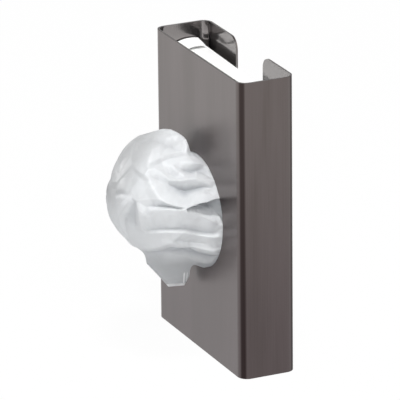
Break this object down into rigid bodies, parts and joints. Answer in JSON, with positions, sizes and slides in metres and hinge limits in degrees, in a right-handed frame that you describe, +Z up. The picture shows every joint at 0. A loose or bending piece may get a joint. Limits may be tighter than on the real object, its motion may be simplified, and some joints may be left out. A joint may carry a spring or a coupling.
{
  "type": "hygiene bag dispenser",
  "caption": "Wall dispenser of one folded dark steel sheet that holds a refill carton of hygiene bags, drawn one by one out of a round front opening.",
  "frame": {"origin": "midway between the two wall screw holes, on the wall face of the back flanges, level with the middle of the front opening", "axes": "+Z up along the height, +X to the right of a user who faces the front, +Y into the wall, so the front panel faces -Y"},
  "size_m": [0.098, 0.0715, 0.15],
  "materials": {
    "dark_steel": "satin, fine vertical grain, dark bronze grey coat",
    "carton_card": "coated white card, matt",
    "folded_film": "thin white polyethylene film, folded flat",
    "drawn_film": "thin translucent white polyethylene film, soft sheen"
  },
  "bodies": {
    "root": {"housing": "dark_steel", "refill_carton": "carton_card", "bag_pile": "folded_film", "drawn_bag": "drawn_film"}
  },
  "joints": []
}
